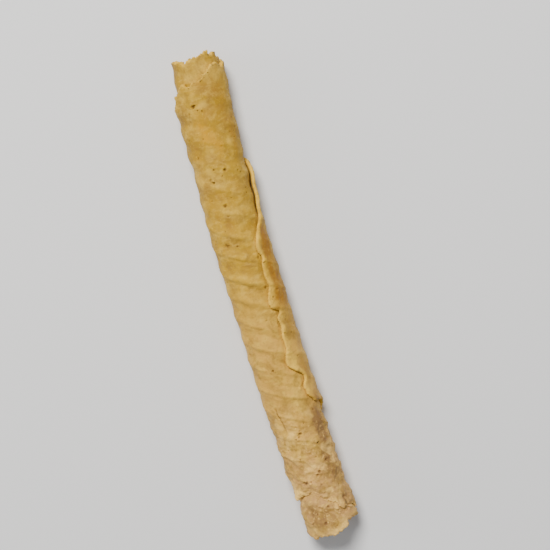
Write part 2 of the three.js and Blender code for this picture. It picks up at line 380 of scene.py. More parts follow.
def flatWafer():
    bm = bmesh.new()
    spareTurn, spareEnd = surface["spare"]
    width = (innerTurn + 2 * spareTurn) * roll["flatMmPerDegree"]
    length = 2 * (roll["halfLength"] + spareEnd)
    bmesh.ops.create_grid(
        bm,
        x_segments=round(width / surface["cell"]),
        y_segments=round(length / surface["cell"]),
        size=0.5,
    )
    bmesh.ops.scale(bm, vec=(width, length, 1), verts=bm.verts)
    offset = width / 2 - spareTurn * roll["flatMmPerDegree"]
    bmesh.ops.translate(bm, vec=(offset, 0, 0), verts=bm.verts)

    # rough cut, then finer towards the rim, then the true cut along the ragged outline
    waste = centres(bm.faces, lambda x, y: insideBy(x, y) < -surface["roughCut"])
    bmesh.ops.delete(bm, geom=waste, context="FACES")
    for reach in surface["rimBands"]:
        band = centres(bm.faces, lambda x, y: -surface["rimOutside"] < insideBy(x, y) < reach)
        split(bm, {e for f in band for e in f.edges})
    depthIn = {v: insideBy(*v.co.xy) for v in bm.verts}
    waste = [f for f in bm.faces if min(depthIn[v] for v in f.verts) < surface["rimKeep"]]
    bmesh.ops.delete(bm, geom=waste, context="FACES")
    strays = [v for v in bm.verts if not v.link_faces]
    bmesh.ops.delete(bm, geom=strays, context="VERTS")
    for attempt in range(2):      # spikes one cell wide
        spikes = [f for f in bm.faces if sum(e.is_boundary for e in f.edges) > 2]
        bmesh.ops.delete(bm, geom=spikes, context="FACES")
    keepLargest(bm)
    rim = [v for v in bm.verts if v.is_boundary]
    mostIn, mostOut = surface["rimMove"]
    for v in rim:
        for attempt in range(2):
            distance, out = rimDistance(*v.co.xy)
            move = max(min(distance + raggedAt(*v.co.xy), mostOut), mostIn)
            v.co.xy += out * move
    factor = surface["rimSmooth"]
    for attempt in range(2):
        bmesh.ops.smooth_vert(bm, verts=rim, factor=factor, use_axis_x=True, use_axis_y=True)
    print("flat wafer:", len(bm.faces), "cells")
    return bm


# Drops crumbs that the cut left apart from the wafer.
def keepLargest(bm):
    left = set(bm.faces)
    groups = []
    while left:
        group = {left.pop()}
        front = list(group)
        while front:
            face = front.pop()
            for e in face.edges:
                for other in e.link_faces:
                    if other in left:
                        left.discard(other)
                        group.add(other)
                        front.append(other)
        groups.append(group)
    groups.sort(key=len)
    loose = [f for group in groups[:-1] for f in group]
    if loose:
        bmesh.ops.delete(bm, geom=loose, context="FACES")


# How the rim is worn, in mm
rimWear = {
    "wallCuts": 3,
    "pull": (0.16, 0.55),         # that its corners are worn back, least and most
    "patches": (0.35, -0.2, 0.5), # of wear: per mm, from, to
    "crumble": 0.22,              # that crumbs have left it
    "crumbRates": (1.6, 4.1),     # per mm, coarse and fine
    "endsFade": (38.0, 52.0),     # from the middle, where the ends' full wear begins
    "seamShare": (0.4, 0.25),     # of their pull and of their crumbs that the seam has
    "sinks": 0.22,                # that the ends' rims come down onto the layer below
    "cornerSinks": 0.40,          # and more at the loose corner
    "sinksFrom": 0.3,             # of the way down the wall
    "outerTurns": 480,            # degrees that are the outer layer
    "frontCrumble": 0.30,         # share of the crumbs that its lower rim has
    # the slope that its lower rim is worn down to
    "slopeBelow": -48.0,          # along the tube
    "slopeTurns": (190, 220, 455, 480),   # degrees: starts, full, until, ends
    "slopeUneven": (0.95, 0.4, 0.05, 0.6),    # middle, spread, per degree, per mm
    "slopeWidth": 2.4,
    "slopeMost": 0.93,            # of the thickness
}


# The second face, a wall round the rim and its two worn, crumbling corners.
def thicken(bm):
    thickness = roll["thickness"]
    upper = list(bm.faces)
    done = bmesh.ops.extrude_face_region(bm, geom=upper, use_keep_orig=True)
    lower = [g for g in done["geom"] if isinstance(g, bmesh.types.BMVert)]
    bmesh.ops.translate(bm, vec=(0, 0, -thickness), verts=lower)
    bmesh.ops.recalc_face_normals(bm, faces=bm.faces)
    posts = [e for e in bm.edges if abs(e.verts[0].co.z - e.verts[1].co.z) > thickness / 2]
    bmesh.ops.subdivide_edges(bm, edges=posts, cuts=rimWear["wallCuts"], use_grid_fill=False)
    rim = {v for f in bm.faces if abs(f.normal.z) < 0.5 for v in f.verts}
    least, most = rimWear["pull"]
    rate, low, high = rimWear["patches"]
    coarse, fine = rimWear["crumbRates"]
    pullShare, crumbShare = rimWear["seamShare"]
    for v in rim:
        down = -v.co.z / thickness
        distance, out = rimDistance(*v.co.xy)
        ends = smooth(abs(v.co.y), *rimWear["endsFade"])
        worn = smooth(unevenness(v.co.x, v.co.y, 17.0, rate), low, high)
        pull = least + (most - least) * worn * (pullShare + (1 - pullShare) * ends) * (1 - down)
        crumbled = 0.5 + noise.noise(v.co * coarse) + 0.5 * noise.noise(v.co * fine)
        crumbled = max(crumbled, 0.0) * (crumbShare + (1 - crumbShare) * ends)
        turn = turnOf(v.co.x)
        sinks = rimWear["sinks"] * ends
        if v.co.y < 0 and turn < rimWear["outerTurns"]:
            crumbled *= rimWear["frontCrumble"]
            sinks += rimWear["cornerSinks"] * ends * onCorner(turn)
        away = pull * abs(2 * down - 1) ** 3 + rimWear["crumble"] * crumbled
        v.co.xy -= out * away
        v.co.z -= sinks * smooth(down, rimWear["sinksFrom"], 1.0)


# How open a spot of the outer face is: 0 under another layer, 1 where none covers it.
def openAt(x, y):
    turn = turnOf(x) - 360
    if turn < surface["openBefore"]:
        return 1.0
    distance = rimDistance(turn * roll["flatMmPerDegree"], y)[0]
    return 1 - smooth(distance, *surface["coverFades"])


# Pores and crumbs that are strewn by a seeded rule. Spans are from and to; turns in degrees.
strewn = {
    "seed": 11,
    "poreClusters": 150,
    "clusterTurns": (20, 470),
    "clusterAlong": (-64, 62),
    "poresInCluster": (2, 5),
    "clusterSpread": (12, 1.6),   # degrees, mm
    "poreRadius": (0.18, 0.34),
    "poreDepth": (0.10, 0.28),
    "shownTurns": (308, 400),     # this side keeps to its own pores
    "shownAbove": -34,            # above here
    "crumbs": 120,
    "crumbTurns": [(200, 470), (590, 830)],   # on one layer or another
    "crumbBelow": (30, 65, 60),   # below the middle: from, to, most of them
    "crumbRadius": (0.18, 0.36),
    "crumbHeight": (0.08, 0.2),
    "rimCrumbs": 90,              # on both sides of the outer layer's worn rim
    "rimTurns": (210, 465),
    "rimAlong": -60.0,
    "rimBeyond": (-0.3, 0.8),     # past the rim: mean, spread
    "rimCrumbRadius": (0.18, 0.38),
    "rimCrumbHeight": (0.1, 0.24),
}


def scatteredMarks():
    rng = random.Random(strewn["seed"])

    def draw(name):
        return rng.uniform(*strewn[name])

    found = []
    turnSpread, alongSpread = strewn["clusterSpread"]
    shownFrom, shownTo = strewn["shownTurns"]
    for cluster in range(strewn["poreClusters"]):
        turn, along = draw("clusterTurns"), draw("clusterAlong")
        for pore in range(rng.randint(*strewn["poresInCluster"])):
            spotTurn, spotAlong = turn + rng.gauss(0, turnSpread), along + rng.gauss(0, alongSpread)
            radius = draw("poreRadius")
            shown = shownFrom < spotTurn < shownTo and spotAlong > strewn["shownAbove"]
            if not shown:
                found.append((spotAlong, spotTurn, radius, draw("poreDepth")))
    for crumb in range(strewn["crumbs"]):
        spotTurn = rng.choice([rng.uniform(*turns) for turns in strewn["crumbTurns"]])
        spotAlong = -rng.triangular(*strewn["crumbBelow"])
        found.append((spotAlong, spotTurn, draw("crumbRadius"), -draw("crumbHeight")))
    for crumb in range(strewn["rimCrumbs"]):
        turn = draw("rimTurns")
        beyond = rng.gauss(*strewn["rimBeyond"])
        spotTurn = turn if beyond < 0 else turn + 360
        spotAlong = -endEdge(turn, strewn["rimAlong"]) - beyond
        found.append((spotAlong, spotTurn, draw("rimCrumbRadius"), -draw("rimCrumbHeight")))
    return found


# Marks by the square of the sheet that they are in, so that a point asks only its neighbours.
def markTable(marks):
    table = {}
    for along, turn, radius, depth in marks:
        x = turn * roll["flatMmPerDegree"]
        for i in range(math.floor(x - 1), math.floor(x + 1) + 1):
            for j in range(math.floor(along - 1), math.floor(along + 1) + 1):
                table.setdefault((i, j), []).append((x, along, radius, depth))
    return table


stuck = [(along, turn, radius, -height) for along, turn, radius, height in crumbs]
marks = markTable(pores + stuck + scatteredMarks())


def nearMark(x, y, margin):
    spots = marks.get((math.floor(x), math.floor(y)), [])
    return any(math.hypot(x - sx, y - sy) < radius + margin for sx, sy, radius, depth in spots)


# The shape of pores and crumbs
markShape = {
    "bend": (0.16, 1.9),          # how far they are drawn out of round: mm, per mm
    "uneven": (0.7, 2.6),         # how much their size changes round them: share, per mm
    "wide": 1.2,                  # wider round the tube than along it
    "reach": 1.7,                 # radii
    "bowlPower": 1.2,
    "lip": (0.16, 1.2, 0.3),      # round a pore: share of its depth, radii out, fade
    "fullShadeDepth": 0.32,              # mm deep, where a pore's painted shade is full
}


# Height that pores and crumbs give, how much painted shade the point gets deep in a pore, and how
# much on a crumb.
def markHeight(x, y):
    height, recessShade, crumb = 0.0, 0.0, 0.0
    bend, bendRate = markShape["bend"]
    bendX = bend * unevenness(x, y, 4.4, bendRate)
    bendY = bend * unevenness(x, y, 6.6, bendRate)
    swell, swellRate = markShape["uneven"]
    lip, lipOut, lipFade = markShape["lip"]
    for sx, sy, radius, depth in marks.get((math.floor(x), math.floor(y)), []):
        uneven = 1 + swell * unevenness(x, y, sx, swellRate)
        away = math.hypot(x - sx + bendX, (y - sy + bendY) * markShape["wide"])
        share = away / (radius * uneven)
        if share < markShape["reach"]:
            bowl = max(1 - share ** 2, 0.0) ** markShape["bowlPower"]
            if depth > 0:
                height += depth * (lip * bell(share - lipOut, lipFade) - bowl)
                # a pore's hollow is darkened as painted shade, more the deeper it is
                recessShade = max(recessShade, bowl * min(depth / markShape["fullShadeDepth"], 1.0))
            else:
                height -= depth * bowl
                crumb = max(crumb, bowl)
    return height, recessShade, crumb


# Signed distance from a crease, above zero on its upper side, and how near its ends.
def creaseDistance(course, x, y):
    best = (99.0, 0.0)
    total = len(course) - 1
    for k in range(total):
        ay, ax = course[k][0], course[k][1] * roll["flatMmPerDegree"]
        by, bx = course[k + 1][0], course[k + 1][1] * roll["flatMmPerDegree"]
        dx, dy = bx - ax, by - ay
        length = math.hypot(dx, dy)
        t = min(max(((x - ax) * dx + (y - ay) * dy) / length ** 2, 0.0), 1.0)
        offX, offY = x - ax - t * dx, y - ay - t * dy
        away = math.hypot(offX, offY)
        if away < abs(best[0]):
            side = 1.0 if dx * (y - ay) - dy * (x - ax) > 0 else -1.0
            best = (side * away, (k + t) / total)
    return best


# The shape of folds and cracks, and the painted shade in their grooves.
# Reaches and fades are in widths, ends in shares of the course.
creaseShape = {
    "foldBend": (0.6, 0.5),       # mm, per mm
    "foldReach": 8,
    "foldEnds": (0.25, 0.06, 0.4),    # first, last, depth that is left at the last point
    "swelling": (2.1, 1.5, 0.7),  # above a fold: how far, fade, share of its depth
    "foldNear": 3,
    # painted shade in a fold's groove
    "foldShade": 0.16,
    "crackJag": (0.22, 2.3),      # mm, per mm
    "crackReach": 3,
    "crackEnds": (0.15, 0.3),
    # painted shade in a crack
    "crackShade": 0.65,
}


# Height of the folds and cracks, how much painted shade the point gets deep in one, how near
# to a fold, and how far up on the swelling above it, where a highlight is painted.
def creaseHeight(x, y):
    height, creaseShade, near, swellingHighlight = 0.0, 0.0, 0.0, 0.0
    size, rate = creaseShape["foldBend"]
    bend = size * unevenness(x, y, 8.8, rate)
    first, last, left = creaseShape["foldEnds"]
    swellOff, swellFade, swell = creaseShape["swelling"]
    for course, width, depth in folds:
        away, share = creaseDistance(course, x, y + bend)
        if abs(away) < creaseShape["foldReach"] * width:
            ends = smooth(share, 0.0, first) * (left + (1 - left) * smooth(1 - share, 0.0, last))
            groove = bell(away, width)
            rise = bell(away - swellOff * width, swellFade * width)
            height += ends * depth * (swell * rise - groove)
            # the fold's groove is darkened as painted shade
            creaseShade = max(creaseShade, creaseShape["foldShade"] * ends * groove)
            near = max(near, ends * bell(away, creaseShape["foldNear"] * width))
            # the swelling above a fold gets a painted highlight
            swellingHighlight = max(swellingHighlight, ends * rise)
    size, rate = creaseShape["crackJag"]
    jag = size * unevenness(x, y, 2.2, rate)
    first, last = creaseShape["crackEnds"]
    for course, width, depth in cracks:
        away, share = creaseDistance(course, x + jag, y)
        if abs(away) < creaseShape["crackReach"] * width:
            ends = smooth(share, 0.0, first) * smooth(1 - share, 0.0, last)
            groove = bell(away, width)
            height -= ends * depth * groove
            # the crack is darkened as painted shade
            creaseShade = max(creaseShade, creaseShape["crackShade"] * ends * groove)
    return height, creaseShade, near, swellingHighlight


def nearCrease(x, y, lines, margin):
    return any(abs(creaseDistance(course, x, y)[0]) < margin for course, width, depth in lines)


# How far a point is from the middle of its line, where lines come at every whole number.
def offLine(count, spacing):
    return (count - round(count)) * spacing


# Patches of 0 to 1 with soft edges
def patchesAt(x, y, plane, rate, low, high):
    return smooth(0.5 + 0.5 * unevenness(x, y, plane, rate), low, high)


# Height of the iron's lattice, and how much the point is in a cell, a groove or on a crest.
def latticeHeight(x, y):
    turn = turnOf(x)
    spacing, starts, crest = roll["ridges"][:3]
    size, rate, crossMore = iron["drift"]
    drift = size * unevenness(x, y, 21.0, rate)
    lines = (y - crest) / spacing + starts * turn / 360 + drift
    slant = math.atan(spacing * starts / (2 * math.pi * roll["outerRadius"]))
    away = offLine(lines, spacing * math.cos(slant))
    crossings = y / iron["crossPitch"] - iron["crossLines"] * turn / 360 + crossMore * drift
    crossAway = offLine(crossings, iron["crossPitch"] * math.sin(slant))
    width, tall = iron["ridge"]
    crossWidth, crossTall = iron["crossRidge"]
    grooveOff, grooveWidth, grooveDeep = iron["groove"]
    share, start, end = iron["faint"]
    pressed = 1 - (1 - share) * smooth(y, start, end)
    strength = pressed * patchesAt(x, y, 12.0, *iron["patches"])
    crossStrength = pressed * patchesAt(x, y, 15.0, *iron["crossPatches"])
    ridge = strength * bell(away, width)
    groove = strength * bell(away + grooveOff, grooveWidth)
    crossRidge = crossStrength * bell(crossAway, crossWidth)
    start, end = iron["cellFades"]
    middle = pressed * smooth(abs(away), start, end) * smooth(abs(crossAway), start, end)
    height = tall * (ridge - grooveDeep * groove) + crossTall * crossRidge
    return height - iron["cell"] * middle, middle, groove, max(ridge, crossRidge)


# Wrinkles, pebbly grain and the coarser lower end.
def grainHeight(x, y, rough):
    spacing, starts = roll["ridges"][:2]
    slope = -spacing * starts / 360 / roll["flatMmPerDegree"]
    size = math.hypot(1, slope)
    lengthways = (x + slope * y) / size
    crossways = (y - slope * x) / size
    height = 0.0
    for k, (rate, crossRate, tall) in enumerate(surface["wrinkles"]):
        height += tall * unevenness(lengthways, crossways, 1.3 + k, rate, crossRate)
    for k, (rate, tall) in enumerate(surface["pebbles"]):
        height += tall * unevenness(x, y, 9.1 + k, rate)
    if rough > 0:
        rate, crossRate, tall = surface["roughGrain"]
        spot = Vector((lengthways * rate, crossways * crossRate, 7.0))
        height += rough * tall * noise.fractal(spot, *surface["roughOctaves"])
        rate, tall, reach = surface["knobs"]
        nearest = noise.voronoi(Vector((x * rate, y * rate, 3.3)))[0][0]
        height += rough * tall * (reach - nearest)
    return height


def roughAt(x, y):
    start, end = surface["rough"]
    size, rate = surface["roughWanders"]
    return smooth(-y + size * unevenness(x, y, 30.0, rate), -start, -end)


# Only the outer face where it shows gets finer cells.
def refineShown(bm):
    def outerFaces(test):
        flat = {f for f in bm.faces if all(v.co.z > -1e-6 for v in f.verts)}
        chosen = set(centres(flat, test))
        edges = {e for f in chosen for e in f.edges if all(g in flat for g in e.link_faces)}
        return {e for e in edges if len(e.link_faces) == 2}

    shown = surface["shownTurns"]
    band = surface["endBand"]
    wide = surface["cell"] * surface["splitAbove"]
    roundMarks, closeToMarks = surface["fineMarks"]
    roundCracks = surface["fineCracks"]
    fine = outerFaces(lambda x, y: turnOf(x) < shown or rimDistance(x, y)[0] < band)
    split(bm, {e for e in fine if e.calc_length() > wide})
    start, end = surface["frontTurns"]
    front = outerFaces(lambda x, y: start < turnOf(x) < end or turnOf(x) < surface["flapTurns"]
                       or nearMark(x, y, roundMarks))
    split(bm, {e for e in front if e.calc_length() > wide / 2})
    near = outerFaces(lambda x, y: nearMark(x, y, closeToMarks)
                      or nearCrease(x, y, cracks, roundCracks))
    split(bm, {e for e in near if e.calc_length() > wide / 4})


# How far the outer layer's lower rim is worn down to a slope: least at its one pale corner.
def wornAt(turn, along, inFromRim):
    start, full, until, end = rimWear["slopeTurns"]
    if along > rimWear["slopeBelow"] or not start < turn < end:
        return 0.0
    edge = smooth(turn, start, full) * (1 - smooth(turn, until, end))
    edge *= 1 - onCorner(turn)
    middle, spread, rate, crossRate = rimWear["slopeUneven"]
    uneven = middle + spread * unevenness(turn, along, 5.5, rate, crossRate)
    slope = edge * uneven * (1 - smooth(inFromRim, 0.0, rimWear["slopeWidth"]))
    return min(slope, rimWear["slopeMost"])


# Where it is paler or browner besides the listed places, and where a highlight is painted, as
# shares, and spans in mm
tints = {
    "bandShare": 0.65,            # of the pale band along the seam's edge
    "bandPatches": [(0.9, 0.06, 0.32, 8.1), (0.5, 0.15, 0.9, 6.1)],   # size, rates, plane
    "bandLeast": 0.1,
    "bandFades": (0.6, 3.0),      # in from the edge
    "bandFaint": (0.55, 21, 25),  # how much weaker it gets, from, to below the middle
    "narrowNotch": 1.5,           # it goes straight past notches narrower than this
    "lowestLobe": (0.75, 26.5, 28.5),     # is brown instead: how much, from, to
    "rimPale": (0.7, 0.2, 0.9),   # every rim: how much, from, to, in from it
    "cornerAlong": (48, 52),      # the loose corner, below the middle
    "cornerFades": (1.2, 3.4),    # and in from the rim
    "wallFades": (0.05, 0.3),     # the rim's wall, from both faces
    "overBrown": 0.5,             # what a browned place takes from all this
    "cell": 0.16,                 # browner in the middle of the iron's cells
    "crumb": 0.8,                 # paler on crumbs; crests are paler and partly a painted highlight; swellings get a painted highlight
    "crest": 0.25,
    "swelling": 0.35,
}


def bandAt(turn, along):
    inward = (turn - seamEdge(along, tints["narrowNotch"])) * roll["flatMmPerDegree"]
    patchy = tints["bandShare"]
    for size, rate, crossRate, plane in tints["bandPatches"]:
        patchy += size * unevenness(turn, along, plane, rate, crossRate)
    faint, start, end = tints["bandFaint"]
    strength = 1 - faint * smooth(-along, start, end)
    patchy = min(max(patchy, tints["bandLeast"]), 1.0)
    return patchy * strength * (1 - smooth(inward, *tints["bandFades"]))


# How pale the rims, the loose corner and the seam's edge are at a point.
def paleRim(turn, along, inFromRim, onFlap):
    share, start, end = tints["rimPale"]
    rim = share * (1 - smooth(inFromRim, start, end))
    corner = onCorner(turn) * smooth(-along, *tints["cornerAlong"])
    rim = max(rim, corner * (1 - smooth(inFromRim, *tints["cornerFades"])))
    rim = max(rim, onFlap * bandAt(turn, along))
    share, start, end = tints["lowestLobe"]
    return rim * (1 - share * onFlap * smooth(-along, start, end))


# Puts every point of the flat wafer in its place on the roll, with its relief and tints.
def rollUp(bm):
    names = ("recessShade", "brownAndShade", "golden", "paleAndHighlight", "rough")
    layers = {name: bm.verts.layers.float.new(name) for name in names}
    sheet = bm.verts.layers.float_vector.new("sheet")
    for v in bm.verts:
        x, along, z = v.co
        turn = turnOf(x)
        depth = -z
        angle = math.radians(turn)
        outer = 1 - smooth(depth, *surface["reliefDepth"])
        inFromRim = insideBy(x, along)
        rough = roughAt(x, along)
        onFlap = 1 - smooth(turn, *surface["flapFades"])
        worn = wornAt(turn, along, inFromRim)
        point = place(turn, along, depth + (roll["thickness"] - depth) * worn)
        height, middle, crest, crumb, swellingHighlight = 0.0, 0.0, 0.0, 0.0, 0.0
        if outer > 0:
            shown = openAt(x, along)
            markUp, recessShade, crumb = markHeight(x, along)
            foldUp, creaseShade, nearFold, swellingHighlight = creaseHeight(x, along)
            latticeUp, middle, groove, crest = latticeHeight(x, along)
            middle, crest, groove = [share * (1 - nearFold) for share in (middle, crest, groove)]
            atSide = abs(math.sin(angle)) ** 3
            latticeUp *= (1 - iron["flatFolds"] * nearFold) * (1 - iron["flatSides"] * atSide)
            up = grainHeight(x, along, rough) + latticeUp
            up += (markUp + foldUp) * smooth(inFromRim, 0.0, surface["marksFrom"])
            off, fade, swell = surface["seamBand"]
            up += onFlap * swell * bell(inFromRim - off, fade)
            # the groove below each iron ridge is darkened as painted shade
            creaseShade = max(creaseShade, iron["grooveShade"] * groove)
            covered = min(up - surface["coveredSinks"], 0.0)
            height = outer * (shown * up + (1 - shown) * covered)
            # painted shade in pores, grooves, folds and cracks
            v[layers["recessShade"]] = max(recessShade, creaseShade) * outer * shown
        offTable = smooth(point.z, *surface["liesFades"])
        point += Vector((0, -math.sin(angle), math.cos(angle))) * height * offTable
        point.z = max(point.z, 0.0)
        start, end = tints["wallFades"]
        wall = smooth(depth, start, end) * smooth(roll["thickness"] - depth, start, end)
        # browning, and at the upper end some painted shade
        brownAndShade = spotsAt(brownedAndShaded, turn, along)
        paleAndHighlight = max(paleRim(turn, along, inFromRim, onFlap), spotsAt(paledAndHighlit, turn, along))
        paleAndHighlight = min(paleAndHighlight, 1.0) * (1 - tints["overBrown"] * min(brownAndShade, 1.0))
        # crumbs are paler; crests are paler with some painted highlight; the swellings above folds
        # get a painted highlight
        raisedPaleAndHighlight = (tints["crumb"] * crumb, tints["crest"] * crest, tints["swelling"] * swellingHighlight)
        v[layers["brownAndShade"]] = brownAndShade * (1 - paleAndHighlight) + tints["cell"] * middle
        v[layers["golden"]] = spotsAt(gilded, turn, along)
        v[layers["paleAndHighlight"]] = max(wall, paleAndHighlight, *raisedPaleAndHighlight)
        v[layers["rough"]] = rough
        v[sheet] = Vector((x, along, 0)) * mm
        v.co = point


# Browned places of the wafer, some of them painted shade: along, turn, half length, half width in
# degrees, strength
brownedAndShaded = [
    (14.5, 55, 4.5, 14, 1.9), (5.0, 49, 4.0, 14, 1.3), (0.2, 47, 2.4, 12, 1.3),
    (-3.1, 33, 1.3, 10, 1.1), (-21.5, 55, 3.5, 15, 0.55), (28.8, 348, 1.4, 15, 0.35),
    (-29.0, 58, 2.4, 14, 1.2), (24.0, 330, 2.2, 9, 0.3), (20.5, 350, 1.8, 12, 0.25),
    # (37.0, 318) and (43.0, 408) are painted shade on the two sides of the upper end
    (29.3, 390, 2.5, 14, 0.25), (37.0, 318, 13.0, 16, 0.3), (43.0, 408, 7.0, 13, 0.4),
    # (30.0, 76) on the seam's flap is partly browning, partly painted shade
    (50.0, 359, 2.0, 15, 0.4), (5.0, 63, 16.0, 22, 0.65), (30.0, 76, 8.0, 16, 0.5),
    (-33.6, 408, 3.0, 14, 2.0), (-38.6, 405, 2.4, 12, 1.4), (-36.5, 408, 6.5, 24, 0.8),
    (-34.0, 386, 2.4, 10, 0.2), (-46.5, 404, 8.0, 24, 0.9), (-57.0, 410, 5.0, 22, 0.6),
    # (54.0, 398) is painted shade at the upper end
    (-46.0, 322, 5.0, 14, 0.3), (54.0, 398, 9.0, 26, 0.35), (-57.5, 692, 3.5, 28, 0.5),
    (-61.0, 702, 2.6, 34, 0.4), (60.0, 350, 5.0, 40, 0.35), (-60.0, 700, 5.0, 70, 0.3),
    (30.0, 200, 14.0, 40, 0.5), (-12.0, 150, 16.0, 36, 0.6), (-40.0, 240, 10.0, 30, 0.4),
    (40.0, 110, 10.0, 30, 0.4), (-52.0, 130, 9.0, 40, 0.55), (5.0, 240, 12.0, 24, 0.3),
    (58.0, 180, 8.0, 60, 0.5),
]

# Places of a deeper gold, given in the same way
gilded = [
    (44.2, 354, 3.2, 16, 0.9), (47.5, 340, 3.0, 12, 0.6), (41.0, 372, 3.0, 13, 0.5),
    (20.0, 180, 7.0, 30, 0.5), (-5.0, 110, 8.0, 24, 0.4),
]

# Paler places, given in the same way; one is partly a painted highlight
paledAndHighlit = [
    (39.5, 396, 5.5, 9, 0.5), (35.5, 379, 1.2, 9, 0.3), (27.0, 350, 0.7, 24, 0.35),
    (23.0, 366, 0.9, 14, 0.3), (55.0, 318, 2.2, 12, 0.5), (53.5, 352, 1.6, 9, 0.35),
    (55.6, 340, 1.8, 11, 0.6), (-33.8, 384, 1.6, 10, 0.4), (-45.5, 370, 2.2, 14, 0.35),
    (-64.6, 714, 1.6, 40, 0.8), (-24.0, 362, 14.0, 18, 0.35), (-58.5, 388, 4.5, 12, 0.4),
    (-62.5, 755, 3.5, 22, 0.5), (-18.5, 30, 4.5, 14, 1.0), (-24.5, 398, 2.2, 5, 0.7),
    # (-25.8, 43) on the seam's pale edge is partly a painted highlight
    (-25.8, 43, 1.4, 7, 1.0),
]

spotFade = 0.8        # of a place's half length and half width
spotMost = 2.0        # where places lie on each other


def spotsAt(places, turn, along):
    total = 0.0
    for at, atTurn, halfLength, halfTurn, strength in places:
        away = math.hypot((along - at) / halfLength, (turn - atTurn) / halfTurn)
        total += strength * bell(away, spotFade)
    return min(total, spotMost)


def waferPiece():
    bm = flatWafer()
    thicken(bm)
    refineShown(bm)
    print("finer cells where it shows:", len(bm.faces))
    rollUp(bm)
    low = [min(v.co[k] for v in bm.verts) for k in range(2)]
    high = [max(v.co[k] for v in bm.verts) for k in range(2)]
    middle = Vector(((low[0] + high[0]) / 2, (low[1] + high[1]) / 2, 0))
    print("centred by", [round(c, 3) for c in middle])
    bmesh.ops.translate(bm, vec=-middle, verts=bm.verts)
    bmesh.ops.scale(bm, vec=(mm, mm, mm), verts=bm.verts)
    bmesh.ops.triangulate(bm, faces=[f for f in bm.faces if len(f.verts) > 4])
    mesh = bpy.data.meshes.new("rolledWafer")
    bm.to_mesh(mesh)
    bm.free()
    mesh.polygons.foreach_set("use_smooth", [True] * len(mesh.polygons))
    piece = bpy.data.objects.new("rolledWafer", mesh)
    bpy.context.scene.collection.objects.link(piece)
    triangles = sum(len(p.vertices) - 2 for p in mesh.polygons)
    print("rolled wafer:", triangles, "triangles")
    return piece


# Colours of the bake, from the upper end to the lower, with painted shade at the upper end, and of
# what lies in or on it
bakedWafer = {
    # the upper colour darkened as painted shade
    "shadedTop": (0.410, 0.235, 0.012, 1),
    "upper": (0.470, 0.268, 0.014, 1),
    "lower": (0.600, 0.335, 0.055, 1),
    "end": (0.600, 0.330, 0.110, 1),
    "shadedTopFades": (0.040, 0.018),       # metres along the tube
    "upperFades": (0.012, -0.016),
    "brownFades": (-0.018, -0.034),
    "lowerFades": (-0.030, -0.056),
    "blotch": (0.310, 0.170, 0.024, 1),
    "lightBlotch": (0.700, 0.450, 0.065, 1),
    "brownAndShade": (0.345, 0.150, 0.006, 1),
    "lowerBrown": (0.262, 0.136, 0.042, 1),
    "golden": (0.550, 0.272, 0.004, 1),
    # paler places and painted highlights share these colours
    "paleAndHighlight": (0.880, 0.550, 0.060, 1),
    "lowerPaleAndHighlight": (0.960, 0.610, 0.160, 1),
    "flour": (0.940, 0.600, 0.160, 1),
    # colours of the painted shade in pores, grooves, folds and cracks
    "pore": (0.105, 0.045, 0.007, 1),
    "lowerRecessShade": (0.200, 0.100, 0.036, 1),
    # specks: colour, noise scale, detail, roughness, distortion, from, to, strength
    "blotches": [
        ("lightBlotch", 140, 3, 0.60, 0.0, 0.48, 0.68, 0.65),
        ("blotch", 210, 4, 0.65, 0.5, 0.46, 0.70, 0.85),
        ("lightBlotch", 480, 4, 0.60, 0.3, 0.50, 0.72, 0.50),
    ],
    "streaks": [                      # along the iron's lines
        ("blotch", 420, 3, 0.60, 0.0, 0.50, 0.70, 0.45),
        ("lightBlotch", 560, 3, 0.60, 0.0, 0.52, 0.70, 0.40),
    ],
    "flouring": [                     # on the rough lower end
        ("flour", 190, 3, 0.60, 0.4, 0.50, 0.68, 0.70),
        ("blotch", 700, 4, 0.70, 0.0, 0.52, 0.68, 0.50),
        ("flour", 820, 4, 0.70, 0.3, 0.54, 0.70, 0.55),
    ],
    "dust": [
        ("blotch", 1500, 3, 0.60, 0.0, 0.55, 0.74, 0.45),
        ("lightBlotch", 2100, 2, 0.50, 0.0, 0.60, 0.74, 0.35),
    ],
    # patchiness: noise scale, detail, roughness, from, to, least, most
    "brownPatches": (420, 4, 0.65, 0.30, 0.62, 0.45, 1.25),
    "paleAndHighlightPatches": (520, 3, 0.60, 0.30, 0.65, 0.45, 1.00),
    "paleAndHighlightMost": 0.85,
    "recessShadeFades": (0.05, 0.85),        # of its depth, for the painted shade
    "recessShadeMost": 0.85,
    "ironSlant": -20.5,               # degrees that the iron's lines lean on the flat sheet
    "streakStretch": 0.35,            # how many streaks there are along those lines, to 1 across
    # bumps: strength, metres, noise scale, detail, roughness
    "bumps": [(0.5, 0.0004, 900, 4, 0.6), (0.35, 0.00015, 3200, 3, 0.6)],
    "roughness": 0.66,
    "shine": 0.14,
    "sheen": 0.04,
}


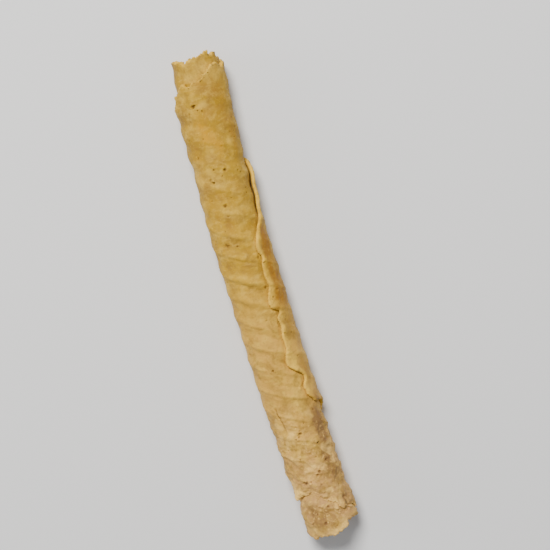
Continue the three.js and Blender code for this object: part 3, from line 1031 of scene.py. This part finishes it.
def waferMaterial():
    mat = bpy.data.materials.new("bakedWafer")
    mat.use_nodes = True
    nodes, links = mat.node_tree.nodes, mat.node_tree.links
    bsdf = nodes["Principled BSDF"]
    coords = nodes.new("ShaderNodeTexCoord")

    # noise in space, or with a vector, noise that follows the sheet
    def speckle(scale, detail, roughness=0.5, distortion=0.0, vector=None):
        node = nodes.new("ShaderNodeTexNoise")
        node.inputs["Scale"].default_value = scale
        node.inputs["Detail"].default_value = detail
        node.inputs["Roughness"].default_value = roughness
        node.inputs["Distortion"].default_value = distortion
        links.new(vector or coords.outputs["Object"], node.inputs["Vector"])
        return node.outputs["Fac"]

    def span(value, low, high, toLow=0.0, toHigh=1.0):
        node = nodes.new("ShaderNodeMapRange")
        node.interpolation_type = "SMOOTHSTEP"
        node.inputs["From Min"].default_value = low
        node.inputs["From Max"].default_value = high
        node.inputs["To Min"].default_value = toLow
        node.inputs["To Max"].default_value = toHigh
        links.new(value, node.inputs["Value"])
        return node.outputs["Result"]

    def blend(share, first, second):
        node = nodes.new("ShaderNodeMix")
        node.data_type = "RGBA"
        links.new(share, node.inputs["Factor"])
        for socket, colour in ((node.inputs["A"], first), (node.inputs["B"], second)):
            if isinstance(colour, str):
                socket.default_value = bakedWafer[colour]
            else:
                links.new(colour, socket)
        return node.outputs["Result"]

    def times(first, second):
        node = nodes.new("ShaderNodeMath")
        node.operation = "MULTIPLY"
        links.new(first, node.inputs[0])
        links.new(second, node.inputs[1])
        return node.outputs["Value"]

    def layer(name, output="Fac"):
        node = nodes.new("ShaderNodeAttribute")
        node.attribute_name = name
        return node.outputs[output]

    def patches(name):
        scale, detail, roughness, low, high, least, most = bakedWafer[name]
        return span(speckle(scale, detail, roughness), low, high, least, most)

    # specks of other colours, all over or only as far as a layer of the sheet says
    def sprinkle(colour, name, within=None, vector=None):
        for speck, scale, detail, roughness, distortion, low, high, strength in bakedWafer[name]:
            grain = speckle(scale, detail, roughness, distortion, vector)
            share = span(grain, low, high, 0.0, strength)
            if within is not None:
                share = times(within, share)
            colour = blend(share, colour, speck)
        return colour

    apart = nodes.new("ShaderNodeSeparateXYZ")
    links.new(coords.outputs["Object"], apart.inputs["Vector"])
    alongTube = apart.outputs["X"]

    # one colour below a stretch of the tube and another above it
    def byPlace(fades, below, above):
        high, low = bakedWafer[fades]
        return blend(span(alongTube, low, high), below, above)

    alongLines = nodes.new("ShaderNodeMapping")
    alongLines.inputs["Rotation"].default_value.z = math.radians(-bakedWafer["ironSlant"])
    alongLines.inputs["Scale"].default_value = (bakedWafer["streakStretch"], 1, 1)
    links.new(layer("sheet", "Vector"), alongLines.inputs["Vector"])

    colour = byPlace("upperFades", "lower", "upper")
    # darker towards the upper end: painted shade
    colour = byPlace("shadedTopFades", colour, "shadedTop")
    high, low = bakedWafer["lowerFades"]
    colour = blend(span(alongTube, low, high, 1.0, 0.0), colour, "end")
    colour = sprinkle(colour, "blotches")
    colour = sprinkle(colour, "streaks", vector=alongLines.outputs["Vector"])
    uneven = patches("brownPatches")
    # the browned places, some of them painted shade, take this colour
    brownAndShade = byPlace("brownFades", "lowerBrown", "brownAndShade")
    colour = blend(times(layer("brownAndShade"), uneven), colour, brownAndShade)
    colour = blend(times(layer("golden"), uneven), colour, "golden")
    # paler places and painted highlights
    paleShare = times(layer("paleAndHighlight"), patches("paleAndHighlightPatches"))
    paleAndHighlight = byPlace("lowerFades", "lowerPaleAndHighlight", "paleAndHighlight")
    colour = blend(span(paleShare, 0.0, 1.0, 0.0, bakedWafer["paleAndHighlightMost"]), colour, paleAndHighlight)
    colour = sprinkle(colour, "flouring", within=layer("rough"))
    colour = sprinkle(colour, "dust")
    # painted shade in pores, grooves, folds and cracks
    pore = byPlace("lowerFades", "lowerRecessShade", "pore")
    start, full = bakedWafer["recessShadeFades"]
    colour = blend(span(layer("recessShade"), start, full, 0.0, bakedWafer["recessShadeMost"]), colour, pore)
    links.new(colour, bsdf.inputs["Base Color"])
    bsdf.inputs["Roughness"].default_value = bakedWafer["roughness"]
    bsdf.inputs["Specular IOR Level"].default_value = bakedWafer["shine"]
    bsdf.inputs["Sheen Weight"].default_value = bakedWafer["sheen"]

    normal = None
    for strength, high, scale, detail, roughness in bakedWafer["bumps"]:
        bump = nodes.new("ShaderNodeBump")
        bump.inputs["Strength"].default_value = strength
        bump.inputs["Distance"].default_value = high
        links.new(speckle(scale, detail, roughness), bump.inputs["Height"])
        if normal is not None:
            links.new(normal, bump.inputs["Normal"])
        normal = bump.outputs["Normal"]
    links.new(normal, bsdf.inputs["Normal"])
    return mat


studio = {
    "cameraDistance": 550,        # mm
    "mmPerPixel": 0.26,
    "photoWidth": 550,
    "tilt": 8.0,                  # degrees that the camera looks down in the photo
    "lean": 16.36,                # degrees that the roll leans there
    "aim": (4.47, -5.06, 7.0),    # what the middle of the photo shows
    "clip": (0.01, 20),           # from here on, sizes are in metres
    "floorSize": 2.4,             # from its middle to its edge
    "floorDrop": 0.0002,
    "paper": (0.8, 0.8, 0.8, 1),
    "paperRoughness": 0.9,
    # lamps: place, size, power, colour
    "lamps": {
        "key": ((0.42, 0.03, 0.70), 0.28, 9.6, (1, 0.98, 0.95)),
        "side": ((0.20, 0.75, 0.30), 0.40, 1.2, (0.98, 0.99, 1)),
    },
    "room": (0.95, 0.97, 1, 1),
    "roomLight": 0.32,
}


def addCamera():
    tilt, lean = math.radians(studio["tilt"]), math.radians(studio["lean"])
    back = Vector((
        math.sin(tilt) * math.cos(lean),
        -math.sin(tilt) * math.sin(lean),
        math.cos(tilt),
    ))
    up = Vector((math.cos(lean), -math.sin(lean), 0))
    up = (up - back * up.dot(back)).normalized()
    right = up.cross(back)
    turned = Matrix((right, up, back)).transposed().to_4x4()
    data = bpy.data.cameras.new("camera")
    data.sensor_fit = "HORIZONTAL"
    width = studio["photoWidth"] * studio["mmPerPixel"]
    data.angle = 2 * math.atan(width / 2 / studio["cameraDistance"])
    data.clip_start, data.clip_end = studio["clip"]
    camera = bpy.data.objects.new("camera", data)
    camera.matrix_world = Matrix.Translation(
        (Vector(studio["aim"]) + back * studio["cameraDistance"]) * mm
    ) @ turned
    bpy.context.scene.collection.objects.link(camera)
    bpy.context.scene.camera = camera


def addLight(name, place, size, power, colour):
    data = bpy.data.lights.new(name, "AREA")
    data.shape = "DISK"
    data.size = size
    data.energy = power
    data.color = colour
    lamp = bpy.data.objects.new(name, data)
    lamp.location = place
    lamp.rotation_euler = Vector(place).to_track_quat("Z", "Y").to_euler()
    bpy.context.scene.collection.objects.link(lamp)


def addStudio():
    bm = bmesh.new()
    bmesh.ops.create_grid(bm, x_segments=1, y_segments=1, size=studio["floorSize"])
    mesh = bpy.data.meshes.new("floor")
    bm.to_mesh(mesh)
    bm.free()
    floor = bpy.data.objects.new("floor", mesh)
    floor.location.z = -studio["floorDrop"]
    bpy.context.scene.collection.objects.link(floor)
    paper = bpy.data.materials.new("palePaper")
    paper.use_nodes = True
    bsdf = paper.node_tree.nodes["Principled BSDF"]
    bsdf.inputs["Base Color"].default_value = studio["paper"]
    bsdf.inputs["Roughness"].default_value = studio["paperRoughness"]
    mesh.materials.append(paper)
    for name, (place, size, power, colour) in studio["lamps"].items():
        addLight(name, place, size, power, colour)
    world = bpy.data.worlds.new("paleRoom")
    world.use_nodes = True
    background = world.node_tree.nodes["Background"]
    background.inputs["Color"].default_value = studio["room"]
    background.inputs["Strength"].default_value = studio["roomLight"]
    bpy.context.scene.world = world


addCamera()
addStudio()
piece = waferPiece()
piece.data.materials.append(waferMaterial())
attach(piece, "root")
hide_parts("wafer")
